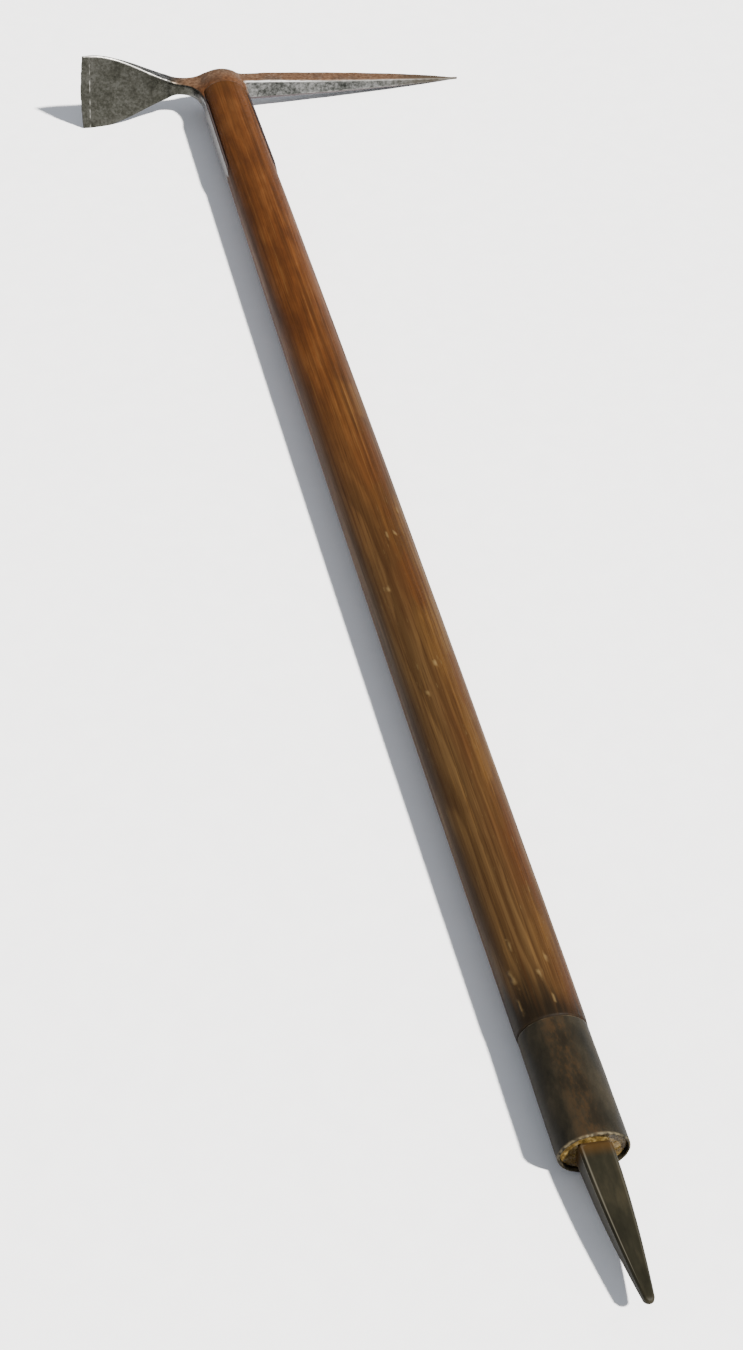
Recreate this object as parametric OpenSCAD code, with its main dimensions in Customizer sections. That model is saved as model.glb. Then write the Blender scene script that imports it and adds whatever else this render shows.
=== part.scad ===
// Long ice axe of the early alpine pattern.
// A forged head with two riveted straps on an oval ash shaft, a steel ferrule and a square spike.
// It lies on its side: shaft along Y with the head at +Y, pick towards +X, adze towards -X, Z up.
// The origin is under the middle of the whole axe, at its lowest point.

/* [Shaft] */
// Width of the oval shaft at both ends, in the plane of pick and adze
shaft_w = 36; // [33:0.5:40]
// Thickness of the oval shaft at both ends
shaft_t = 29; // [27:0.5:32]
// Swell of the shaft at mid length, as a share of its end size
swell = 0.1; // [0:0.01:0.14]
// Distance from the mouth of the ferrule to the line of the pick point
reach = 1062; // [800:1:1200]

/* [Pick] */
// Distance from the shaft axis to the pick point
pick_len = 194; // [150:1:220]
// Depth of the pick at its root, along the shaft
pick_d = 16; // [14:0.5:20]
// Thickness of the pick at its root
pick_t = 18; // [14:0.5:21]

/* [Adze] */
// Distance from the shaft axis to the middle of the cutting edge
adze_len = 112; // [90:1:130]
// Width of the cutting edge
adze_w = 62; // [45:1:75]
// Depth of the neck between shaft and blade, along the shaft
neck_d = 14; // [10:0.5:16]
// Width of the neck
neck_w = 11.5; // [9:0.5:13]
// Thickness of the blade where the grinding of the edge begins
blade_t = 2.4; // [1.8:0.1:3.2]
// Length of the ground bevel at the edge
bevel = 8; // [5:0.5:12]

/* [Socket and straps] */
// Top of the head above the line of the pick point
crown_h = 12; // [10:0.5:14]
// Lower edge of the socket below the line of the pick point
socket_h = 17; // [14:0.5:24]
// Thickness of the socket wall
wall = 2.4; // [2:0.1:3]
// How far the straps reach down from the line of the pick point
strap_len = 151; // [110:1:200]
// Width of a strap
strap_w = 13; // [11:0.5:14]
// Thickness of a strap
strap_t = 2.4; // [2:0.1:2.8]
// Diameter of the strap rivets
rivet_d = 5; // [4:0.5:6]

/* [Ferrule and spike] */
// Length of the ferrule
ferrule_len = 72; // [50:1:90]
// Wall of the ferrule
ferrule_wall = 1.6; // [1.2:0.1:2]
// Length of the spike below the mouth of the ferrule
spike_len = 82; // [60:1:100]
// Width of the spike at its base
spike_w = 17; // [14:0.5:19]
// Thickness of the spike at its base
spike_t = 12.5; // [11:0.5:16]
// Length of the tang inside the shaft
tang_len = 95; // [70:1:120]

/* [Hidden] */
// Free space between pieces that are driven or laid together
gap = 0.1;
// How far a cutting shape reaches past the faces it cuts
cut = 1;
// Steps round an oval, along the shaft and along a curved outline
oval_n = 64;
shaft_rings = 24;
curve_n = 20;
round_n = 40;

// Shaft: its seat in the ferrule starts at wood_start, and a tenon in the socket ends at tenon_top
tenon_top = 3;
seat_w = shaft_w - 2 * (ferrule_wall + gap);
seat_t = shaft_t - 2 * (ferrule_wall + gap);
tenon_w = shaft_w - 2 * wall;
tenon_t = shaft_t - 2 * wall;
wood_start = 5;

// Straps lie on flats planed on the two narrow sides of the oval, and stand a little proud
strap_lift = 0.4;
strap_point = 20;
rivet_y = [reach - 42, reach - 86, reach - 130];
rivet_r = rivet_d / 2;
sink_depth = 1.2;
sink_r = rivet_r + 1.2;

// Head
socket_w = shaft_w + 1.2;
socket_t = shaft_t + 0.8;
// Crown: height of its edge as a share of its top, its spread along the head and its fullness across
crown_edge = 0.45;
crown_spread = 0.62;
crown_full = 0.65;
// Neck: where the blade begins, its underside, and how much it has eased where it starts to thin
neck_x = 33;
neck_low = crown_h - neck_d;
neck_ease = 0.6;
neck_step = 5;
// Flared root of the neck: its end inside the socket, its length and its extra half width
root_x = shaft_w / 2 - 4;
root_run = 14;
root_rise = 4.5;
// Blade: where it has thinned to its last slow taper, what it thins by from there,
// and the share of the fan at which it reaches its full width
taper_x = 84;
taper_t = 0.6;
flare_full = 0.93;
// Cutting edge: its height above the flat underside, its thickness and how far its corners fall back
edge_low = 0.7;
edge_t = 1;
edge_drop = 2;
// Sweep between the neck and the strap below it, and how far it reaches into the socket
fillet_x = 13;
fillet_y = 29;
fillet_in = 1.5;
// Pick: its root inside the socket, its blunt point and how far its middle lies above the point
pick_x = shaft_w / 2 - 6;
pick_tip = 1.6;
pick_rise = 0.8;
// Chamfers of the pick, as shares of its thickness and depth
pick_cut_t = 0.17;
pick_cut_d = 0.12;

// Ferrule, spike and packing
recess = 2.5;
mouth_round = 1.2;
mouth_ease = 0.3;
packing_t = wood_start - recess;
tang_w = 11;
tang_t = 10;
tang_tip = 5;
tip_w = 5.5;
tip_t = 4.5;
// Length of the rounded end of the spike, and the corner chamfers along it
blunt = 2;
spike_cut = 1;
// How far the tip of the spike leans towards the pick side
spike_lean = 1.5;
// Nail of the ferrule: it stands a little proud and is turned from the upper side towards the adze
nail_d = 3;
nail_len = 8;
nail_proud = 0.6;
nail_y = 13;
nail_turn = 38;

// Where the middle of the axe and its lowest point lie, from the shaft axis at the ferrule mouth
mid_x = (pick_len - adze_len) / 2;
mid_y = (reach + crown_h - spike_len) / 2;
low_z = adze_w / 2;

// Points of an oval, w wide and t thick
function oval(w, t, n = oval_n) = [for (i = [0:n - 1])
    [w / 2 * cos(360 * i / n), t / 2 * sin(360 * i / n)]];

// Size of the shaft at height y, as a share of its end size
function shaft_scale(y) =
    let (u = (y - ferrule_len) / (reach - ferrule_len))
    u <= 0 || u >= 1 ? 1 : 1 + swell * 4 * u * (1 - u);

// Half width of the wood at height y, measured from the line of the pick point
function crest(y) = shaft_w / 2 * shaft_scale(reach + y);

// Half width of the adze blade, s from 0 at the neck to 1 at the edge
function flare(s) = neck_w / 2 + (adze_w - neck_w) / 2 * pow(sin(90 * min(1, s / flare_full)), 1.5);

// Depth, thickness and middle of the pick, s from 0 at its root to 1 at its point
function pick_depth(s) = max(pick_tip, pick_d * pow(1 - pow(s, 3), 0.9));
function pick_thick(s) = max(pick_tip, pick_t * pow(1 - s, 0.75));
function pick_mid(s) = pick_rise * (1 - pow(s, 4));

// Section of a chamfered bar with half sizes a and b, its corners cut back by ca and cb
function bar(a, b, ca, cb) = [
    [a, cb - b], [a, b - cb], [a - ca, b], [ca - a, b],
    [-a, b - cb], [-a, cb - b], [ca - a, -b], [a - ca, -b]];

// Ring of the spike, s from 0 at its base to 1 at its blunt end; share shrinks it
function spike_ring(s, y, share = 1) =
    let (w = tip_w + (spike_w - tip_w) * (1 - pow(s, 1.8)))
    let (t = tip_t + (spike_t - tip_t) * (1 - pow(s, 1.3)))
    [for (p = share * bar(w / 2, t / 2, spike_cut, spike_cut)) [spike_lean * s + p[0], y, p[1]]];

module placed() {
    translate([-mid_x, -mid_y, low_z]) children();
}

// Extrude an outline drawn in X and Y through the thickness Z, centred
module side_view(t) {
    translate([0, 0, -t / 2]) linear_extrude(t) children();
}

// Extrude an outline drawn in X and Z along Y, from y upwards
module end_view(y, h) {
    translate([0, y + h, 0]) rotate([90, 0, 0]) linear_extrude(h) children();
}

// Extrude an outline drawn in Y and Z along X, from x upwards
module long_view(x, w) {
    translate([x, 0, 0]) rotate([90, 0, 90]) linear_extrude(w) children();
}

// Solid through a list of rings, each a list of the same number of points
module loft(rings) {
    n = len(rings[0]);
    points = [for (r = rings) for (p = r) p];
    last = (len(rings) - 1) * n;
    sides = [for (j = [0:len(rings) - 2]) for (i = [0:n - 1])
        [j * n + i, j * n + (i + 1) % n, (j + 1) * n + (i + 1) % n, (j + 1) * n + i]];
    polyhedron(points, concat([[for (i = [n - 1:-1:0]) i]], sides, [[for (i = [0:n - 1]) last + i]]));
}

// Solid through oval rings across Y, each given as [y, width, thickness]
module oval_loft(sizes) {
    loft([for (r = sizes) [for (p = oval(r[1], r[2])) [p[0], r[0], p[1]]]]);
}

// Side outline of the adze with its neck, y measured from the line of the pick point
module adze_side() {
    polygon([
        [-adze_len, edge_low],
        [-adze_len + bevel, 0],
        [-neck_x, 0],
        [-neck_x + 2, neck_low],
        [-root_x, neck_low],
        [-root_x, neck_low + neck_d],
        [-neck_x, neck_low + neck_d],
        [-neck_x - neck_step, neck_low + neck_d - neck_ease],
        [-taper_x, blade_t + taper_t],
        [-adze_len + bevel, blade_t],
        [-adze_len, edge_low + edge_t]]);
}

// Plan outline of the adze: a fan with a slightly convex edge and a flared root at the socket
module adze_plan() {
    fan = adze_len - edge_drop - neck_x;
    root = [for (a = [90:-15:0]) [
        -root_x - root_run * (1 - sin(a)),
        neck_w / 2 + root_rise * (1 - cos(a))]];
    side = [for (i = [0:curve_n]) [-neck_x - fan * i / curve_n, flare(i / curve_n)]];
    edge = [for (i = [1:5]) [-adze_len + edge_drop * pow(i / 3 - 1, 2), adze_w / 2 * (1 - i / 3)]];
    upper = concat(root, side);
    polygon(concat(upper, edge, [for (i = [len(upper) - 1:-1:0]) [upper[i][0], -upper[i][1]]]));
}

module adze() {
    intersection() {
        side_view(adze_w) adze_side();
        end_view(-cut, neck_d + 2 * cut) adze_plan();
    }
}

module pick() {
    run = pick_len - pick_x;
    loft([for (i = [0:curve_n])
        let (s = 1 - pow(1 - i / curve_n, 2))
        let (t = pick_thick(s))
        let (d = pick_depth(s))
        [for (p = bar(t / 2, d / 2, t * pick_cut_t, d * pick_cut_d))
            [pick_x + run * s, pick_mid(s) + p[1], p[0]]]]);
}

// Oval cap over the end of the wood, rounded at the crown
module socket() {
    intersection() {
        end_view(-socket_h, socket_h + crown_h) polygon(oval(socket_w, socket_t));
        long_view(-socket_w, 2 * socket_w) polygon(concat(
            [[-socket_h, -socket_t], [-socket_h, socket_t]],
            [for (a = [0:10:180]) [crown_h * pow(sin(a), crown_full), socket_t / 2 * cos(a)]]));
        side_view(socket_t * 2) polygon(concat(
            [[-socket_w, -socket_h], [socket_w, -socket_h]],
            [for (a = [0:10:180]) [
                socket_w * crown_spread * cos(a),
                crown_h * (crown_edge + (1 - crown_edge) * sin(a))]]));
    }
}

// Strap on the pick side, from the socket down: it follows the swell of the wood.
// Inside and outside are measured from the crest of the oval.
module strap(inside, outside, grow = 0) {
    steps = [for (i = [0:4]) -i / 4 * (strap_len + grow)];
    half = strap_w / 2 + grow;
    run = strap_point + grow;
    intersection() {
        side_view(strap_w + 2 * grow) polygon(concat(
            [for (y = steps) [crest(y) + inside, y]],
            [for (i = [4:-1:0]) [crest(steps[i]) + outside, steps[i]]]));
        long_view(0, shaft_w) polygon(concat(
            [[0, -half], [0, half]],
            [for (a = [90:-10:-90]) [-strap_len - grow + run * (1 - cos(a)), half * sin(a)]]));
    }
}

// Sweep of metal between the neck and the strap of the adze side
module neck_fillet() {
    x0 = -socket_w / 2 - fillet_x;
    y0 = neck_low - fillet_y;
    side_view(neck_w) polygon(concat(
        [[fillet_in - socket_w / 2, neck_low + cut], [x0, neck_low + cut]],
        [for (a = [90:-10:0]) [x0 + fillet_x * cos(a), y0 + fillet_y * sin(a)]],
        [[fillet_in - socket_w / 2, y0]]));
}

// Rivet through wood and straps, with a countersunk head in each strap
module rivet_shape(y) {
    out = crest(y - reach) + strap_lift;
    translate([0, y - reach, 0]) rotate([0, 90, 0]) {
        translate([0, 0, -out]) cylinder(r = rivet_r, h = 2 * out, $fn = round_n);
        for (s = [0, 1]) mirror([0, 0, s])
            translate([0, 0, out - sink_depth])
                cylinder(r1 = rivet_r, r2 = sink_r, h = sink_depth, $fn = round_n);
    }
}

module head() {
    color("dimgray") placed() translate([0, reach, 0]) difference() {
        union() {
            adze();
            pick();
            socket();
            neck_fillet();
            for (s = [0, 1]) mirror([s, 0, 0])
                strap(strap_lift - strap_t, strap_lift);
        }
        end_view(-socket_h - cut, socket_h + cut + tenon_top + gap)
            polygon(oval(tenon_w + 2 * gap, tenon_t + 2 * gap));
        for (y = rivet_y) rivet_shape(y);
    }
}

module shaft() {
    swell_rings = [for (i = [0:shaft_rings])
        let (y = ferrule_len + (reach - socket_h - ferrule_len) * i / shaft_rings)
        [y, shaft_w * shaft_scale(y), shaft_t * shaft_scale(y)]];
    color("sienna") placed() difference() {
        oval_loft(concat(
            [[wood_start, seat_w, seat_t], [ferrule_len, seat_w, seat_t]],
            swell_rings,
            [[reach - socket_h, tenon_w, tenon_t], [reach + tenon_top, tenon_w, tenon_t]]));
        translate([0, reach, 0]) for (s = [0, 1]) mirror([s, 0, 0])
            strap(strap_lift - strap_t - gap, strap_t, gap);
        for (y = rivet_y) translate([-shaft_w, y, 0]) rotate([0, 90, 0])
            cylinder(r = rivet_r, h = 2 * shaft_w, $fn = round_n);
        tang(gap);
        nail(gap);
    }
}

// Square tang that tapers into the wood; grow makes it a hole that is open at the mouth
module tang(grow = 0) {
    y0 = grow > 0 ? recess - cut : recess;
    y1 = wood_start + tang_len + grow;
    tip = tang_tip / 2 + grow;
    intersection() {
        side_view(2 * tang_w) polygon([
            [-tang_w / 2 - grow, y0], [tang_w / 2 + grow, y0], [tip, y1], [-tip, y1]]);
        long_view(-tang_w, 2 * tang_w) polygon([
            [y0, -tang_t / 2 - grow], [y0, tang_t / 2 + grow], [y1, tip], [y1, -tip]]);
    }
}

// Nail through the side of the ferrule into the wood; grow makes it a hole that is open to the outside
module nail(grow = 0) {
    outside = grow > 0 ? shaft_t : 0;
    rotate([0, -nail_turn, 0]) translate([0, nail_y, shaft_t / 2 + nail_proud - nail_len - grow])
        cylinder(r = nail_d / 2 + grow, h = nail_len + grow + outside, $fn = round_n);
}

module rivet(y) {
    color("slategray") placed() translate([0, reach, 0]) rivet_shape(y);
}

module rivet_upper() rivet(rivet_y[0]);
module rivet_middle() rivet(rivet_y[1]);
module rivet_lower() rivet(rivet_y[2]);

module ferrule() {
    inner_w = shaft_w - 2 * ferrule_wall;
    inner_t = shaft_t - 2 * ferrule_wall;
    color([0.2, 0.17, 0.14]) placed() difference() {
        oval_loft([
            [0, shaft_w - 2 * mouth_round, shaft_t - 2 * mouth_round],
            [mouth_round * mouth_ease, shaft_w - 2 * mouth_round * mouth_ease,
                shaft_t - 2 * mouth_round * mouth_ease],
            [mouth_round, shaft_w, shaft_t],
            [ferrule_len, shaft_w, shaft_t]]);
        end_view(-cut, ferrule_len + 2 * cut) polygon(oval(inner_w, inner_t));
        nail(gap);
    }
}

module ferrule_nail() {
    color("silver") placed() nail();
}

module mouth_packing() {
    color("peru") placed() difference() {
        end_view(recess, packing_t - gap) polygon(oval(seat_w, seat_t));
        tang(gap);
    }
}

module spike() {
    run = recess + spike_len - blunt;
    color([0.24, 0.21, 0.16]) placed() {
        tang();
        loft(concat(
            [spike_ring(1, -spike_len, 0.4), spike_ring(1, -spike_len + blunt * 0.3, 0.75)],
            [for (i = [curve_n:-1:0]) spike_ring(i / curve_n, recess - run * i / curve_n)]));
    }
}

head();
shaft();
rivet_upper();
rivet_middle();
rivet_lower();
ferrule();
ferrule_nail();
mouth_packing();
spike();
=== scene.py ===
"""Looks of the long ice axe: forged head, wooden shaft, ferrule, spike and packing.

Shapes are worked out in millimetres from two places on the shaft axis, the ferrule's mouth and the pick
line, and put into the CAD frame in metres by place().
"""

import math

import bmesh
import bpy
import numpy as np
from mathutils import Matrix, Vector, noise


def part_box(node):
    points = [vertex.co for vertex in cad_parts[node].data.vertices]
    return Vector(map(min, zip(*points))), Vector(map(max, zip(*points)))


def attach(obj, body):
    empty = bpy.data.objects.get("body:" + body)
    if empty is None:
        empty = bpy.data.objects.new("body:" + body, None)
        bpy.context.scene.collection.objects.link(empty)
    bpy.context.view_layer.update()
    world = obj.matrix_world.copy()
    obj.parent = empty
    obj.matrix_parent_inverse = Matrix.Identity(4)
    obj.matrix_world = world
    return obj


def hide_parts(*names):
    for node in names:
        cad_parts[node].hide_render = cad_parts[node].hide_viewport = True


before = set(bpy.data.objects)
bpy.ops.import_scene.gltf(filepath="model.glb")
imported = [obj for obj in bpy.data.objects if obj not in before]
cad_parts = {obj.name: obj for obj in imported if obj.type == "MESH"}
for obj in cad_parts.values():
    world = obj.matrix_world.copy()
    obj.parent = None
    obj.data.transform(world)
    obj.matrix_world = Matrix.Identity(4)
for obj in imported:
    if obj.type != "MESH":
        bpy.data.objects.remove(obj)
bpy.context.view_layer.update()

MM = 0.001
RING_POINTS = 64

# ---------------------------------------------------------------- places and sizes, from the frame

# AXIS_X, AXIS_Z, MOUTH_Y, PICK_LINE_Y and the corners of boxes are in metres, the other lengths in millimetres
FERRULE_LO, FERRULE_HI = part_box("ferrule")
HEAD_LO, HEAD_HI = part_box("head")
SPIKE_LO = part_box("spike")[0]
SHAFT_LO, SHAFT_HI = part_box("shaft")
PACKING_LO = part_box("mouth_packing")[0]

AXIS_X = (FERRULE_LO.x + FERRULE_HI.x) / 2
AXIS_Z = (FERRULE_LO.z + FERRULE_HI.z) / 2
MOUTH_Y = FERRULE_LO.y
CROWN = 12.0
PICK_LINE_Y = HEAD_HI.y - CROWN * MM

SHAFT_W = (FERRULE_HI.x - FERRULE_LO.x) / MM
SHAFT_T = (FERRULE_HI.z - FERRULE_LO.z) / MM
FERRULE_LEN = (FERRULE_HI.y - FERRULE_LO.y) / MM
REACH = (PICK_LINE_Y - MOUTH_Y) / MM
SWELL = (SHAFT_HI.x - SHAFT_LO.x) / MM / SHAFT_W - 1
PICK_LEN = (HEAD_HI.x - AXIS_X) / MM
ADZE_LEN = (AXIS_X - HEAD_LO.x) / MM
ADZE_W = (HEAD_HI.z - HEAD_LO.z) / MM
STRAP_LEN = (PICK_LINE_Y - HEAD_LO.y) / MM
SPIKE_LEN = (MOUTH_Y - SPIKE_LO.y) / MM
RECESS = (PACKING_LO.y - MOUTH_Y) / MM

# Straps and socket
STRAP_W = 13.0
STRAP_T = 2.4
STRAP_LIFT = 0.4
STRAP_POINT = 20.0
SOCKET_W = SHAFT_W + 0.9
SOCKET_T = SHAFT_T + 0.6
SOCKET_H = 17.0

# Adze: the neck, the ground bevel, and how far along the blade it reaches its full width
NECK_X = 33.0
NECK_W = 11.5
NECK_LOW = -2.0
BEVEL = 8.0
FLARE_FULL = 0.93

# Pick: where it starts, its depth and thickness there, how far its middle rises, and its blunt point
PICK_X = SHAFT_W / 2 - 6
PICK_D = 16.0
PICK_T = 18.0
PICK_RISE = 0.8
PICK_POINT = 1.7

# Ferrule, nail (how far its head is from the axis, and degrees from +Z towards -X) and spike
FERRULE_WALL = 1.6
NAIL_SURFACE = 15.1
NAIL_TURN = 38
SPIKE_W = 17.0
SPIKE_T = 12.5
SPIKE_TIP_W = 5.5
SPIKE_TIP_T = 4.5
SPIKE_LEAN = 1.5
SPIKE_BLUNT = 3.0
SPIKE_CHAMFER = 1.25

# How far the visual pieces stay inside the CAD part
CROWN_GAP = 0.15
ADZE_GAP = 0.1
PICK_GAP = 0.25
FERRULE_GAP = 0.12
PACKING_GAP = 0.25


def place(points, y0):
    """Points in millimetres from the shaft axis at height y0, put into the frame in metres."""
    p = np.asarray(points, float) * MM
    return p + np.array([AXIS_X, y0, AXIS_Z])


def shaft_scale(y):
    """Size of the wood at y mm above the ferrule's mouth, as a share of its end size."""
    u = np.clip((y - FERRULE_LEN) / (REACH - FERRULE_LEN), 0, 1)
    return 1 + SWELL * 4 * u * (1 - u)


def crest(y):
    """Half width of the wood at y mm from the pick line."""
    return SHAFT_W / 2 * shaft_scale(REACH + y)


def smoothstep(lo, hi, x):
    t = np.clip((x - lo) / (hi - lo), 0, 1)
    return t * t * (3 - 2 * t)


# ---------------------------------------------------------------- mesh tools

def new_object(name, mesh):
    obj = bpy.data.objects.new(name, mesh)
    bpy.context.scene.collection.objects.link(obj)
    return obj


def loft(rings, name="loft"):
    """Closed mesh object through rings of equal length, each an array of points in metres."""
    rings = np.asarray(rings)
    count, n = rings.shape[:2]
    faces = []
    for j in range(count - 1):
        a, b = j * n, (j + 1) * n
        faces += [(a + i, a + (i + 1) % n, b + (i + 1) % n, b + i) for i in range(n)]
    faces.append(tuple(range(n - 1, -1, -1)))
    faces.append(tuple((count - 1) * n + i for i in range(n)))
    mesh = bpy.data.meshes.new(name)
    mesh.from_pydata(rings.reshape(-1, 3).tolist(), [], faces)
    mesh.update()
    return new_object(name, mesh)


def outward(obj):
    """Turn all faces outwards."""
    bm = bmesh.new()
    bm.from_mesh(obj.data)
    bmesh.ops.recalc_face_normals(bm, faces=bm.faces)
    bm.to_mesh(obj.data)
    bm.free()


def superellipse(half_a, half_b, power):
    """Ring of points (a, b): power 2 is an ellipse, higher is squarer."""
    t = 2 * np.pi * np.arange(RING_POINTS) / RING_POINTS
    c, s = np.cos(t), np.sin(t)
    return (half_a * np.sign(c) * np.abs(c) ** (2 / power),
            half_b * np.sign(s) * np.abs(s) ** (2 / power))


def coords(obj):
    co = np.empty(len(obj.data.vertices) * 3)
    obj.data.vertices.foreach_get("co", co)
    return co.reshape(-1, 3)


def set_coords(obj, co):
    obj.data.vertices.foreach_set("co", co.ravel())
    obj.data.update()


def normals(obj):
    n = np.empty(len(obj.data.vertices) * 3)
    obj.data.vertices.foreach_get("normal", n)
    return n.reshape(-1, 3)


def edges(obj):
    e = np.empty(len(obj.data.edges) * 2, int)
    obj.data.edges.foreach_get("vertices", e)
    return e.reshape(-1, 2)


def neighbour_mean(values, e, degree):
    total = np.zeros_like(values)
    np.add.at(total, e[:, 0], values[e[:, 1]])
    np.add.at(total, e[:, 1], values[e[:, 0]])
    return total / degree


def degrees_of(count, e):
    return np.bincount(e.ravel(), minlength=count).astype(float)[:, None]


def relax(obj, weight, rounds):
    """Smooth a mesh, each point by its weight from 0 to 1."""
    co = coords(obj)
    e = edges(obj)
    degree = degrees_of(len(co), e)
    w = 0.5 * np.asarray(weight).reshape(-1, 1)
    for _ in range(rounds):
        co += w * (neighbour_mean(co, e, degree) - co)
    set_coords(obj, co)


def fuse(parts, name, voxel):
    """One closed mesh from overlapping closed pieces."""
    for obj in parts:
        outward(obj)
    bpy.ops.object.select_all(action="DESELECT")
    for obj in parts:
        obj.select_set(True)
    bpy.context.view_layer.objects.active = parts[0]
    bpy.ops.object.join()
    joined = bpy.context.view_layer.objects.active
    remesh = joined.modifiers.new("fuse", "REMESH")
    remesh.mode = "VOXEL"
    remesh.voxel_size = voxel
    remesh.adaptivity = 0
    graph = bpy.context.evaluated_depsgraph_get()
    mesh = bpy.data.meshes.new_from_object(joined.evaluated_get(graph))
    old = joined.data
    bpy.data.objects.remove(joined)
    bpy.data.meshes.remove(old)
    mesh.name = name
    return new_object(name, mesh)


def perlin(points, scale, seed=0.0):
    """Noise from -1 to 1 at each point, with features about scale metres long (one number or three)."""
    p = np.asarray(points) / np.asarray(scale) + seed
    return np.array([noise.noise(Vector(q)) for q in p])


def write_attribute(obj, name, values):
    layer = obj.data.attributes.new(name, "FLOAT", "POINT")
    layer.data.foreach_set("value", np.asarray(values, np.float32))


def edge_wear_and_highlight(obj, rounds, extra=0.0, share=1.0):
    """Store how sharply the surface turns outwards, 0 flat to 1 a sharp arris, or extra if that is more."""
    co = coords(obj)
    e = edges(obj)
    degree = degrees_of(len(co), e)
    length = np.linalg.norm(co[e[:, 0]] - co[e[:, 1]], axis=1).mean()
    bump = ((co - neighbour_mean(co, e, degree)) * normals(obj)).sum(1, keepdims=True) / length
    for _ in range(rounds):
        bump = 0.5 * bump + 0.5 * neighbour_mean(bump, e, degree)
    write_attribute(obj, "wear_and_highlight", np.maximum(np.clip(bump[:, 0] * 12, 0, 1) * share, extra))


def finish_piece(obj, material, node):
    """Shade a finished piece, give it its material and put it in a CAD node's place."""
    outward(obj)
    obj.data.shade_smooth()
    obj.data.materials.clear()
    obj.data.materials.append(material)
    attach(obj, "root")
    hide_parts(node)


# ---------------------------------------------------------------- node tools

class Shader:
    """Short calls that add shader nodes and return their output sockets."""

    def __init__(self, name):
        self.material = bpy.data.materials.new(name)
        self.material.use_nodes = True
        self.tree = self.material.node_tree
        self.bsdf = self.tree.nodes["Principled BSDF"]
        coord = self.tree.nodes.new("ShaderNodeTexCoord")
        self.place = coord.outputs["Object"]

    def _put(self, socket, value):
        if hasattr(value, "is_output"):
            self.tree.links.new(value, socket)
        else:
            socket.default_value = value

    def math(self, op, a, b=0.0):
        node = self.tree.nodes.new("ShaderNodeMath")
        node.operation = op
        for socket, value in zip(node.inputs, (a, b)):
            self._put(socket, value)
        return node.outputs[0]

    def chain(self, op, first, rest):
        for value in rest:
            first = self.math(op, first, value)
        return first

    def plus(self, first, *rest):
        return self.chain("ADD", first, rest)

    def minus(self, first, *rest):
        return self.chain("SUBTRACT", first, rest)

    def times(self, first, *rest):
        return self.chain("MULTIPLY", first, rest)

    def most(self, first, *rest):
        return self.chain("MAXIMUM", first, rest)

    def size(self, value):
        return self.math("ABSOLUTE", value)

    def stretch(self, scale=(1, 1, 1), turn=(0, 0, 0), move=(0, 0, 0)):
        node = self.tree.nodes.new("ShaderNodeMapping")
        self._put(node.inputs["Vector"], self.place)
        node.inputs["Scale"].default_value = scale
        node.inputs["Rotation"].default_value = turn
        node.inputs["Location"].default_value = move
        return node.outputs[0]

    def noise(self, vector, scale, detail, rough):
        node = self.tree.nodes.new("ShaderNodeTexNoise")
        self._put(node.inputs["Vector"], vector)
        node.inputs["Scale"].default_value = scale
        node.inputs["Detail"].default_value = detail
        node.inputs["Roughness"].default_value = rough
        return node.outputs["Fac"]

    def between(self, value, lo, hi, out_lo=0.0, out_hi=1.0):
        """Map lo..hi to out_lo..out_hi with soft ends."""
        node = self.tree.nodes.new("ShaderNodeMapRange")
        node.interpolation_type = "SMOOTHSTEP"
        self._put(node.inputs["Value"], value)
        ends = {"From Min": lo, "From Max": hi, "To Min": out_lo, "To Max": out_hi}
        for name, number in ends.items():
            node.inputs[name].default_value = number
        return node.outputs["Result"]

    def mix(self, fac, a, b):
        node = self.tree.nodes.new("ShaderNodeMix")
        node.data_type = "RGBA"
        self._put(node.inputs["Factor"], fac)
        self._put(node.inputs[6], a)
        self._put(node.inputs[7], b)
        return node.outputs[2]

    def ramp(self, fac, stops):
        node = self.tree.nodes.new("ShaderNodeValToRGB")
        self._put(node.inputs["Fac"], fac)
        elements = node.color_ramp.elements
        while len(elements) < len(stops):
            elements.new(0.5)
        for element, (pos, colour) in zip(elements, stops):
            element.position = pos
            element.color = colour
        return node.outputs["Color"]

    def attribute(self, name):
        node = self.tree.nodes.new("ShaderNodeAttribute")
        node.attribute_name = name
        return node.outputs["Fac"]

    def split(self, vector):
        """The x, y and z of a vector."""
        node = self.tree.nodes.new("ShaderNodeSeparateXYZ")
        self._put(node.inputs[0], vector)
        return node.outputs

    def normal(self):
        return self.tree.nodes.new("ShaderNodeNewGeometry").outputs["Normal"]

    def bump(self, height, strength, distance):
        node = self.tree.nodes.new("ShaderNodeBump")
        self._put(node.inputs["Height"], height)
        node.inputs["Strength"].default_value = strength
        node.inputs["Distance"].default_value = distance
        self.tree.links.new(node.outputs[0], self.bsdf.inputs["Normal"])

    def set(self, **values):
        """Set inputs of the surface shader by their socket names in lower case."""
        for name, value in values.items():
            self._put(self.bsdf.inputs[SOCKETS[name]], value)


SOCKETS = {"base_color": "Base Color", "metallic": "Metallic", "roughness": "Roughness",
           "specular": "Specular IOR Level", "coat": "Coat Weight", "coat_roughness": "Coat Roughness"}


def rgb(r, g, b):
    """Linear colour from sRGB values of 0 to 255."""
    def lin(v):
        v = v / 255
        return v / 12.92 if v <= 0.04045 else ((v + 0.055) / 1.055) ** 2.4
    return (lin(r), lin(g), lin(b), 1.0)


# The sun is strong enough to bring the floor close to white, so a surface that should look like a given
# colour beside it has this share of that colour
SUNLIT = 0.22


def lit(r, g, b):
    """Surface colour that looks about like the given sRGB values in the strong light."""
    return tuple(SUNLIT * v for v in rgb(r, g, b)[:3]) + (1.0,)


# ---------------------------------------------------------------- materials

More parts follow.
